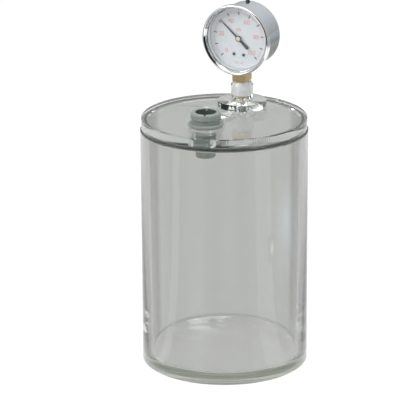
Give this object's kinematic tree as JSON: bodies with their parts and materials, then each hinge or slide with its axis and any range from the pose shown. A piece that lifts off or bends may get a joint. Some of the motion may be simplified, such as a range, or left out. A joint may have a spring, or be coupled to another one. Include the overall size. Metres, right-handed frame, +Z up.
{
  "type": "vacuum chamber",
  "caption": "Clear cylindrical acrylic vacuum vessel with a loose lid, a rubber valve stopper and a bottom-entry dial vacuum gauge with its Bourdon movement inside.",
  "frame": {"origin": "centre of the tube's underside, on the surface it stands on", "axes": "+Z up along the tube's axis; the gauge's dial faces -Y; gauge port at +Y, stopper at -Y"},
  "size_m": [0.16, 0.16, 0.3453],
  "materials": {
    "clear_acrylic": "polished clear acrylic, faintly green in its thickness",
    "base_acrylic": "polished clear acrylic disc, greenish at its edge",
    "black_rubber": "black rubber",
    "stopper_rubber": "matt grey-green rubber",
    "white_tape": "white thread tape",
    "brass": "machined brass",
    "chrome": "bright chromed steel",
    "case_steel": "plated steel case",
    "window_glass": "clear window",
    "dial_white": "white painted dial with printed scale",
    "pointer_black": "black painted pointer",
    "dark_screw": "blackened screws",
    "steel": "bright steel",
    "bronze_spring": "phosphor bronze"
  },
  "bodies": {
    "root": {"chamber_tube": "clear_acrylic", "base_plate": "base_acrylic", "lid_plate": "clear_acrylic", "lid_gasket": "black_rubber", "gauge_boss": "clear_acrylic", "valve_stopper": "stopper_rubber", "thread_tape": "white_tape", "gauge_socket": "brass", "gauge_case": "case_steel", "vent_plug": "black_rubber", "bezel_ring": "chrome", "window": "window_glass", "window_gasket": "black_rubber", "dial_plate": "dial_white", "dial_screws": "dark_screw", "hairspring": "bronze_spring", "spring_stud": "brass", "front_plate": "brass", "back_plate": "brass", "pillars": "brass", "movement_screws": "steel", "bourdon_tube": "bronze_spring", "tube_tip": "brass"},
    "sector": {"sector_gear": "brass", "sector_arbor": "brass", "link_pin": "steel"},
    "pointer": {"pointer": "pointer_black", "pointer_hub": "brass", "pinion_arbor": "brass"},
    "link": {"link": "steel"}
  },
  "joints": [
    {"name": "sector_swing", "type": "hinge", "parent": "root", "child": "sector", "pos_m": [-0.0085, 0.0337, 0.30061], "axis": [0, 1, 0], "range_deg": [-22.95, 10.8], "stiffness_Nm_per_rad": 0.06, "deforming": ["bourdon_tube", "tube_tip"]},
    {"name": "pointer_turn", "type": "hinge", "parent": "root", "child": "pointer", "pos_m": [0, 0.0337, 0.3111], "axis": [0, 1, 0], "range_deg": [-86.4, 183.6], "deforming": ["hairspring"]},
    {"name": "link_swing", "type": "hinge", "parent": "sector", "child": "link", "pos_m": [-0.01542, 0.0337, 0.30461], "axis": [0, 1, 0], "range_deg": [-10.4, 4.9]}
  ],
  "couplings": [
    {"joint": "pointer_turn", "follows": "sector_swing", "ratio": -8},
    {"joint": "link_swing", "follows": "sector_swing", "ratio": 0.45}
  ]
}
